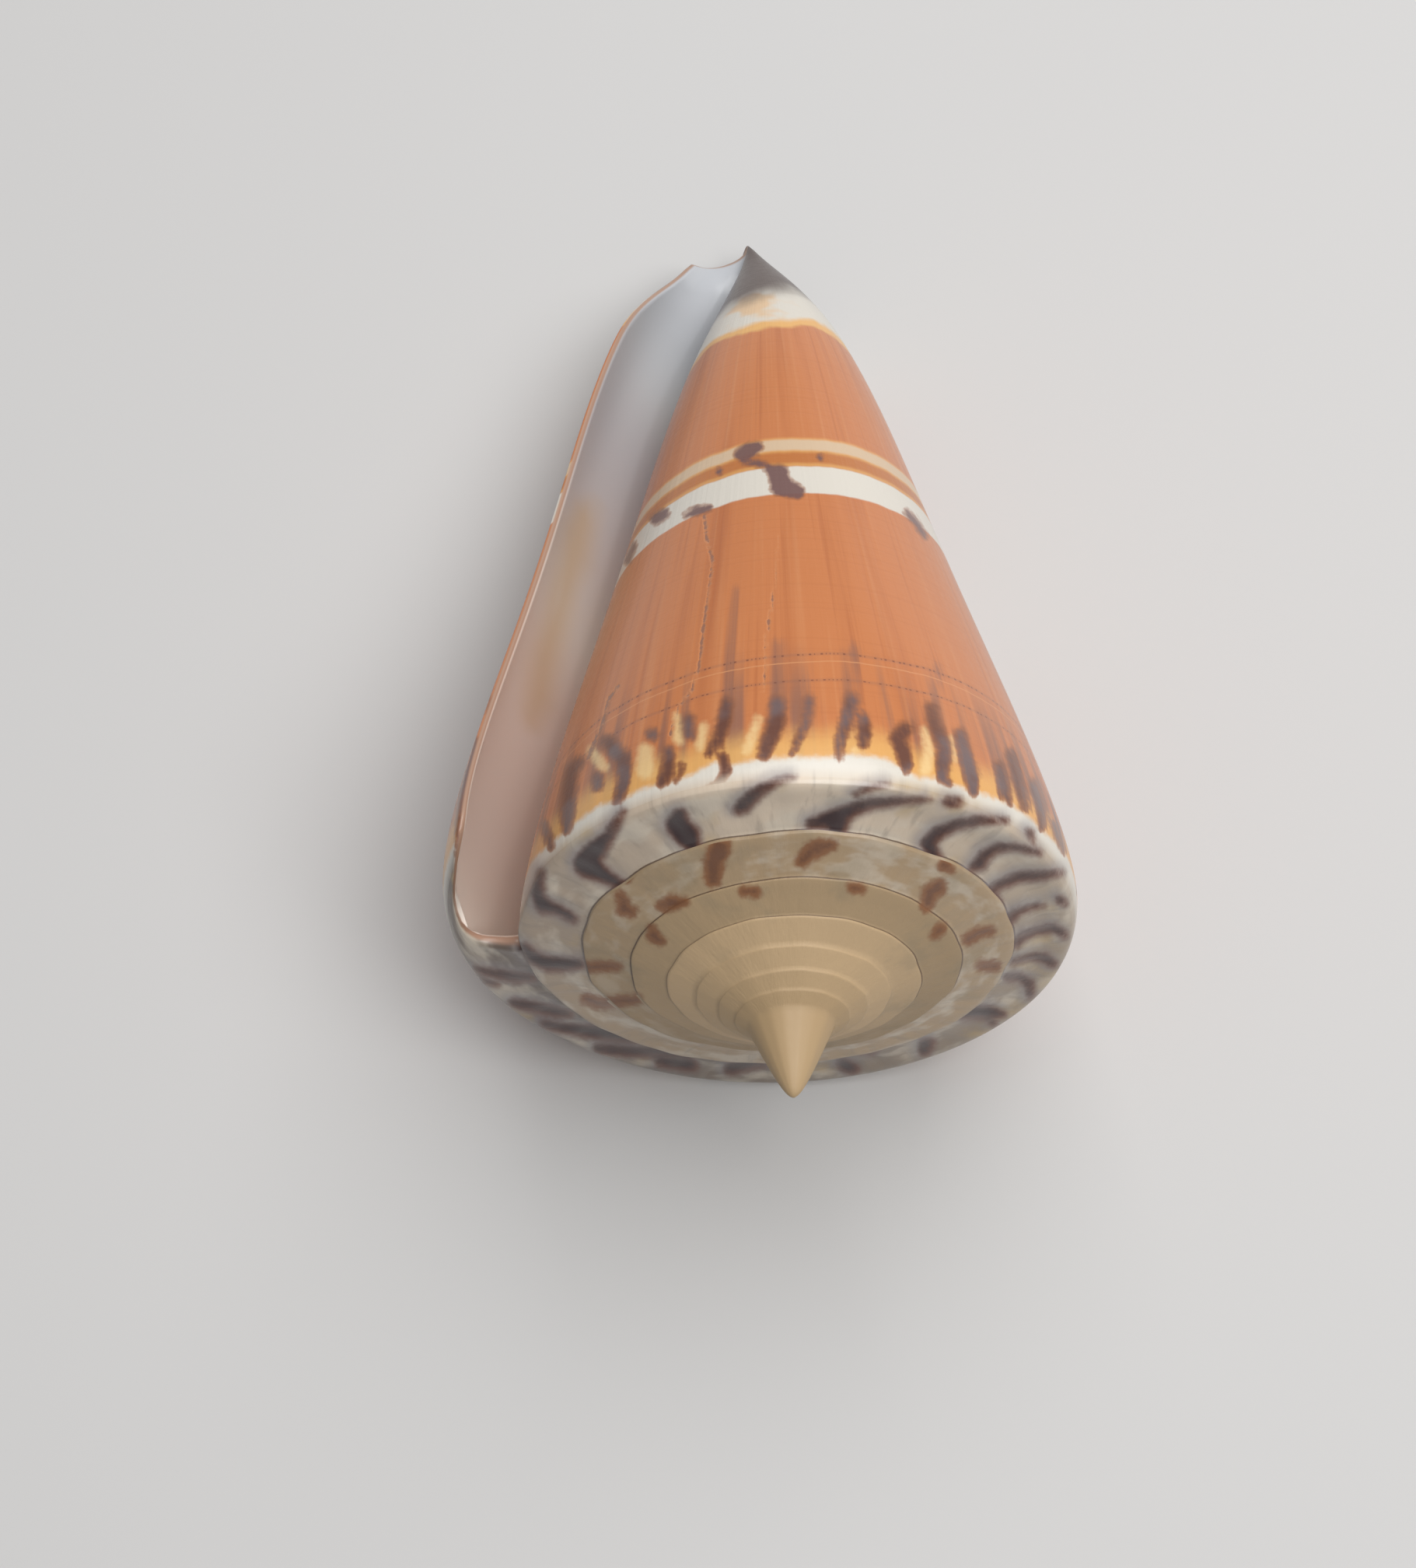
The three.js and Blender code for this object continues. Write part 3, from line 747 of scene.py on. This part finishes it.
def attribute(name):
    """A number kept on the mesh."""
    return node("ShaderNodeAttribute", attribute_name=name).outputs["Fac"]


def grown_noise(around, down, detail=3.0):
    """Noise laid out in the growth map: so many patches a turn, and so many down it."""
    scaled = node("ShaderNodeVectorMath", {0: growth, 1: (around, down, 1)}, operation="MULTIPLY")
    inputs = {"Vector": scaled.outputs[0], "Scale": 1, "Detail": detail}
    return node("ShaderNodeTexNoise", inputs).outputs["Fac"]


def solid_noise(per_metre, detail=3.0):
    """Noise in the shell's own space, so many patches to the metre."""
    inputs = {"Vector": coordinates, "Scale": per_metre, "Detail": detail}
    return node("ShaderNodeTexNoise", inputs).outputs["Fac"]


def stops(value, entries):
    """A colour for each place along a value."""
    made = node("ShaderNodeValToRGB", {"Fac": value})
    elements = made.color_ramp.elements
    while len(elements) < len(entries):
        elements.new(1)
    for stop, (place, colour) in zip(elements, entries):
        stop.position = place
        stop.color = colour
    return made.outputs["Color"]


coordinates = node("ShaderNodeTexCoord").outputs["Object"]
growth = node("ShaderNodeUVMap", uv_map="growth_lines").outputs["UV"]
parts = node("ShaderNodeSeparateXYZ", {"Vector": growth})
turns, profile = parts.outputs["X"], parts.outputs["Y"]
inside = attribute("inside")

fine_streaks = grown_noise(170, 2.2, 5)
broad_streaks = grown_noise(34, 1.6, 3)
patches = solid_noise(260)
grain = solid_noise(2600, 4)
ragged = maths("MULTIPLY", maths("SUBTRACT", grain, 0.5), 0.3)
threads = grown_noise(1.2, 210, 2)


def faded(value, start, end, share):
    """A soft step that only reaches a share of the way."""
    return maths("MULTIPLY", step(value, start, end), share)


def roughened(name, noise, reach):
    """A distance kept on the mesh, pushed to and fro by noise."""
    return maths("ADD", attribute(name), maths("MULTIPLY", maths("SUBTRACT", noise, 0.5), reach))


ORANGE = screen_colour(202, 125, 75)
ORANGE_DEEP = screen_colour(180, 104, 60)
ORANGE_PALE = screen_colour(216, 150, 102)
YELLOW = screen_colour(232, 178, 104)
GOLD = screen_colour(190, 116, 58)
WHITE = screen_colour(221, 214, 202)
CREAM = screen_colour(214, 186, 154)
GREY_BROWN = screen_colour(134, 97, 84)
flank_colour = layer(ORANGE, ORANGE_DEEP, faded(broad_streaks, 0.5, 0.75, 0.7))
flank_colour = layer(flank_colour, ORANGE_PALE, faded(fine_streaks, 0.52, 0.75, 0.32))
flank_colour = layer(flank_colour, ORANGE_DEEP, faded(fine_streaks, 0.46, 0.3, 0.5))
flank_colour = layer(flank_colour, ORANGE_DEEP, faded(threads, 0.48, 0.34, 0.14))
streak_edge = roughened("streaks", fine_streaks, 2.5)
flank_colour = layer(flank_colour, GREY_BROWN, faded(streak_edge, 0.3, -0.7, 0.6))

rim_edge = roughened("rim", grain, 0.45)
haze = maths("MULTIPLY", faded(grown_noise(62, 1.2, 4), 0.47, 0.6, 0.75), step(rim_edge, -9, -3))
flank_colour = layer(flank_colour, GREY_BROWN, haze)
flank_colour = layer(flank_colour, YELLOW, faded(rim_edge, -2.6, -0.6, 0.8))

BAND_SLANT = 0.098
BAND_MIDDLE = 0.6466
band_place = maths("MULTIPLY", maths("SUBTRACT", turns, BAND_MIDDLE), BAND_SLANT)
band_wobble = maths("MULTIPLY", maths("SUBTRACT", grown_noise(28, 3, 4), 0.5), 0.008)
band_place = maths("ADD", maths("ADD", profile, band_place), band_wobble)
WIDE_BAND = (0.4357, 0.484)
NARROW_BAND = (0.5137, 0.5332)
BAND_EDGE = 0.002
LAST_BAND = 0.7664
LAST_BAND_END = 0.83
TIP_START = 0.88


def between(value, low, high, blur):
    """1 between two places, with a soft edge at each."""
    return maths("MULTIPLY", step(value, low - blur, low + blur), step(value, high + blur, high - blur))


flank_colour = layer(flank_colour, GOLD, between(band_place, WIDE_BAND[1], NARROW_BAND[0], 0.004))
fringe = maths("MAXIMUM", between(band_place, WIDE_BAND[1], WIDE_BAND[1] + 0.006, 0.004),
               between(band_place, NARROW_BAND[0] - 0.004, NARROW_BAND[1] + 0.003, 0.004))
flank_colour = layer(flank_colour, YELLOW, maths("MULTIPLY", fringe, 0.6))
flank_colour = layer(flank_colour, WHITE, between(band_place, *WIDE_BAND, BAND_EDGE))
flank_colour = layer(flank_colour, CREAM, between(band_place, *NARROW_BAND, BAND_EDGE*1.5))
TIP_BROWN = screen_colour(84, 68, 62)
tip_place = maths("ADD", band_place, maths("MULTIPLY", maths("SUBTRACT", patches, 0.5), 0.06))
flank_colour = layer(flank_colour, YELLOW, step(tip_place, LAST_BAND - 0.006, LAST_BAND + 0.004))
flank_colour = layer(flank_colour, WHITE, step(tip_place, LAST_BAND + 0.008, LAST_BAND + 0.022))
tip_patches = maths("MULTIPLY", faded(patches, 0.5, 0.62, 0.6), step(tip_place, LAST_BAND, LAST_BAND + 0.01))
flank_colour = layer(flank_colour, YELLOW, tip_patches)
flank_colour = layer(flank_colour, TIP_BROWN, step(tip_place, LAST_BAND_END, TIP_START))

PALE_YELLOW = screen_colour(240, 208, 150)
flank_colour = layer(flank_colour, PALE_YELLOW, faded(roughened("pale", grain, 0.4), 0.25, -0.3, 0.75))

DOTS = screen_colour(120, 70, 52)
DOTTED_LINES = ((0.1715, 0.0011), (0.134, 0.0008))
DOT_SHADE = 0.004
dashes = step(grown_noise(420, 0, 0), 0.52, 0.58)
for place, half_width in DOTTED_LINES:
    shade = between(band_place, place - DOT_SHADE/2, place + DOT_SHADE/2, DOT_SHADE/2)
    flank_colour = layer(flank_colour, GREY_BROWN, maths("MULTIPLY", shade, 0.25))
    line = between(band_place, place - half_width, place + half_width, half_width/2)
    flank_colour = layer(flank_colour, DOTS, maths("MULTIPLY", maths("MULTIPLY", line, dashes), 0.75))
PALE_THREAD = 0.1605
thread = between(band_place, PALE_THREAD - 0.0008, PALE_THREAD + 0.0008, 0.0006)
flank_colour = layer(flank_colour, ORANGE_PALE, maths("MULTIPLY", thread, 0.7))
scar_edge = roughened("scars", grain, 0.3)
flank_colour = layer(flank_colour, ORANGE_PALE, faded(scar_edge, 0.16, 0.04, 0.3))
flank_colour = layer(flank_colour, GREY_BROWN, faded(scar_edge, 0.06, -0.03, 0.75))

above_rim = maths("MAXIMUM", maths("MULTIPLY", rim_edge, -1), 0)
softness = maths("MINIMUM", maths("ADD", 0.06, maths("MULTIPLY", above_rim, 0.1)), 0.45)
FRINGE_BROWN = screen_colour(158, 98, 60)
TONGUE_BROWN = screen_colour(104, 66, 54)
TONGUE_GREY = screen_colour(112, 94, 94)
tongue_edge = maths("ADD", attribute("tongues"), ragged)
tongue_edge = maths("ADD", tongue_edge, maths("MULTIPLY", maths("SUBTRACT", fine_streaks, 0.5), 0.5))
tongue_colour = layer(TONGUE_BROWN, TONGUE_GREY, step(patches, 0.42, 0.6))
flank_colour = layer(flank_colour, WHITE, step(rim_edge, -0.3, 0.25))
fringe_edge = faded(tongue_edge, maths("ADD", softness, 0.08), -0.06, 0.85)
flank_colour = layer(flank_colour, FRINGE_BROWN, fringe_edge)
flank_colour = layer(flank_colour, tongue_colour, faded(tongue_edge, softness, -0.3, 0.95))
BLOT_PURPLE = screen_colour(112, 80, 78)
blot_edge = roughened("blots", grain, 0.3)
flank_colour = layer(flank_colour, FRINGE_BROWN, faded(blot_edge, 0.2, 0.05, 0.6))
flank_colour = layer(flank_colour, BLOT_PURPLE, faded(blot_edge, 0.1, -0.12, 0.92))

# Painted shade on the last whorl's ramp: the grey, buff and dusk stops darken it round the turn where it
# faces away from the light, leaving it white only near the top. The older whorls' beige, buff and cream are
# their own colour.
RAMP_SHADE_GREY = screen_colour(114, 100, 90)
RAMP_HALF_SHADE_BUFF = screen_colour(164, 146, 126)
RAMP_WHITE = screen_colour(218, 200, 178)
RAMP_SHADE_DUSK = screen_colour(168, 150, 132)
OLD_BEIGE = screen_colour(184, 158, 126)
OLDER_BUFF = screen_colour(168, 143, 110)
APEX_CREAM = screen_colour(206, 176, 136)
APEX_TIP = screen_colour(182, 154, 116)
ramp_share = maths("MULTIPLY", turns, 1/SPIRE_TURNS)
ramp_stops = [(0.12, RAMP_SHADE_GREY), (0.45, RAMP_HALF_SHADE_BUFF), (0.72, RAMP_WHITE), (0.95, RAMP_SHADE_DUSK),
              (1.2, OLD_BEIGE), (2.4, OLDER_BUFF), (4.0, APEX_CREAM), (6.6, APEX_TIP)]
ramp_colour = stops(ramp_share, [(place/SPIRE_TURNS, colour) for place, colour in ramp_stops])
STAIN = screen_colour(190, 160, 108)
WORN = screen_colour(150, 134, 108)
CHALK = screen_colour(212, 200, 182)
chalky = faded(grown_noise(26, 2, 3), 0.45, 0.66, 0.75)
ramp_colour = layer(ramp_colour, CHALK, maths("MULTIPLY", chalky, step(turns, 2.6, 1.2)))
middle_whorls = maths("MULTIPLY", step(turns, 0.9, 1.3), step(turns, 4.5, 3))
worn = faded(solid_noise(420, 4), 0.5, 0.68, 0.4)
ramp_colour = layer(ramp_colour, WORN, maths("MULTIPLY", worn, middle_whorls))
stained = faded(patches, 0.54, 0.68, 0.55)
ramp_colour = layer(ramp_colour, STAIN, maths("MULTIPLY", stained, step(turns, 1.1, 0.9)))
ramp_lines = grown_noise(150, 1.5, 5)
LINE_GREY = screen_colour(150, 136, 122)
lined = maths("MULTIPLY", faded(ramp_lines, 0.48, 0.3, 0.4), step(turns, 2.2, 0.8))
ramp_colour = layer(ramp_colour, LINE_GREY, lined)
# Painted shade: a thin dark line in the crease where the ramp meets the older whorl's step, on the middle
# whorls.
SUTURE_PAINTED_SHADE = screen_colour(92, 68, 48)
suture_edge = maths("ADD", profile, maths("MULTIPLY", maths("SUBTRACT", grain, 0.5), 0.02))
suture_shade = maths("MULTIPLY", step(suture_edge, -0.962, -0.98), step(turns, 3.6, 2.2))
ramp_colour = layer(ramp_colour, SUTURE_PAINTED_SHADE, maths("MULTIPLY", suture_shade, 0.85))
OLD_BROWN = screen_colour(138, 90, 56)
OLD_DARK = screen_colour(100, 64, 48)
blotch_edge = roughened("blotches", grain, 0.5)
ramp_colour = layer(ramp_colour, OLD_BROWN, faded(blotch_edge, 0.34, -0.1, 0.92))
ramp_colour = layer(ramp_colour, OLD_DARK, faded(blotch_edge, -0.05, -0.4, 0.6))

shoulder_side = step(profile, 0.0005, 0.018)
outer_colour = layer(ramp_colour, flank_colour, shoulder_side)
VEIL_GREY = screen_colour(136, 130, 134)
FLAME_BROWN = screen_colour(112, 68, 50)
FLAME_DARK = screen_colour(58, 44, 46)
veil_edge = roughened("flame_veil", grain, 0.2)
flame_edge = roughened("flames", grain, 0.26)
flame_core = maths("MULTIPLY", maths("ADD", veil_edge, flame_edge), 0.5)
outer_colour = layer(outer_colour, VEIL_GREY, faded(veil_edge, 0.8, -0.25, 0.68))
outer_colour = layer(outer_colour, FLAME_BROWN, faded(flame_edge, 0.36, -0.2, 0.9))
outer_colour = layer(outer_colour, FLAME_DARK, faded(flame_core, 0.16, -0.34, 0.95))

INNER_PINK = screen_colour(247, 234, 222)
INNER_GREY = screen_colour(194, 196, 200)
INNER_MAUVE_SHADE = screen_colour(158, 122, 106)
inner_colour = layer(INNER_PINK, INNER_GREY, step(profile, 0.3, 0.75))
OCHRE = screen_colour(214, 178, 116)
inner_colour = layer(inner_colour, OCHRE, faded(attribute("smudges"), 1.2, -0.8, 0.5))
# Painted shade: the inside turns a dark mauve deeper into the mouth.
inner_colour = layer(inner_colour, INNER_MAUVE_SHADE, step(turns, 0.1, 0.22))
# The lip's edge is its own brownish pink, darkened further as painted shade.
LIP_EDGE_AND_SHADE = screen_colour(172, 138, 118)
shell_colour = layer(outer_colour, LIP_EDGE_AND_SHADE, step(inside, 0.1, 0.4))
shell_colour = layer(shell_colour, inner_colour, step(inside, 0.7, 0.95))
tree.links.new(shell_colour, shader.inputs["Base Color"])

roughness = maths("ADD", 0.3, maths("MULTIPLY", grain, 0.12))
roughness = maths("ADD", roughness, faded(turns, 1, 2.5, 0.2))
tree.links.new(roughness, shader.inputs["Roughness"])
tree.links.new(faded(turns, 2.2, 0.9, 0.3), shader.inputs["Coat Weight"])
shader.inputs["Coat Roughness"].default_value = 0.15

relief = maths("ADD", maths("MULTIPLY", fine_streaks, 0.5), maths("MULTIPLY", threads, 0.12))
relief = maths("ADD", relief, maths("MULTIPLY", grain, 0.12))
relief = maths("ADD", relief, faded(scar_edge, -0.02, 0.1, 0.4))
relief = maths("MULTIPLY", relief, step(inside, 0.6, 0))
bump = node("ShaderNodeBump", {"Height": relief, "Strength": 0.35, "Distance": 0.0002})
tree.links.new(bump.outputs["Normal"], shader.inputs["Normal"])

shell_mesh.materials.append(material)
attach(shell, "root")
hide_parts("shell")

# The floor and the light
# A pale matt table, and soft light from a wide panel above the tip, with a smaller one
# over the spire from the right and a grey room round them.
FLOOR_HALF = 2.0
floor_mesh = bpy.data.meshes.new("floor")
floor_corners = [(-FLOOR_HALF, -FLOOR_HALF, 0), (FLOOR_HALF, -FLOOR_HALF, 0),
                 (FLOOR_HALF, FLOOR_HALF, 0), (-FLOOR_HALF, FLOOR_HALF, 0)]
floor_mesh.from_pydata(floor_corners, [], [(0, 1, 2, 3)])
floor_piece = bpy.data.objects.new("floor", floor_mesh)
bpy.context.collection.objects.link(floor_piece)
table = bpy.data.materials.new("pale_table")
table.use_nodes = True
TABLE_GREY = (0.62, 0.61, 0.6, 1)
TABLE_ROUGHNESS = 0.9
table_shader = table.node_tree.nodes["Principled BSDF"]
table_shader.inputs["Base Color"].default_value = TABLE_GREY
table_shader.inputs["Roughness"].default_value = TABLE_ROUGHNESS
floor_mesh.materials.append(table)


def panel(name, place, target, width, power):
    """A square area light that looks at a target."""
    data = bpy.data.lights.new(name, "AREA")
    data.energy = power
    data.size = width
    made = bpy.data.objects.new(name, data)
    back = unit(np.array(place, float) - target)
    across = unit(np.cross([0, 1, 0.1], back))
    made.matrix_world = Matrix(np.stack([across, np.cross(back, across), back], 1).tolist()).to_4x4()
    made.location = place
    bpy.context.collection.objects.link(made)


panel("key", (0.12, 0.26, 0.48), np.array([0, 0.01, 0.015]), 0.45, 1.9)
panel("front", (0.2, -0.12, 0.48), np.array([0, 0, 0.015]), 0.3, 1.65)
world = bpy.data.worlds.new("room")
world.use_nodes = True
ROOM_GREY = (0.8, 0.82, 0.85, 1)
ROOM_STRENGTH = 0.2
world.node_tree.nodes["Background"].inputs["Color"].default_value = ROOM_GREY
world.node_tree.nodes["Background"].inputs["Strength"].default_value = ROOM_STRENGTH
bpy.context.scene.world = world
bpy.context.scene.view_settings.view_transform = "Standard"
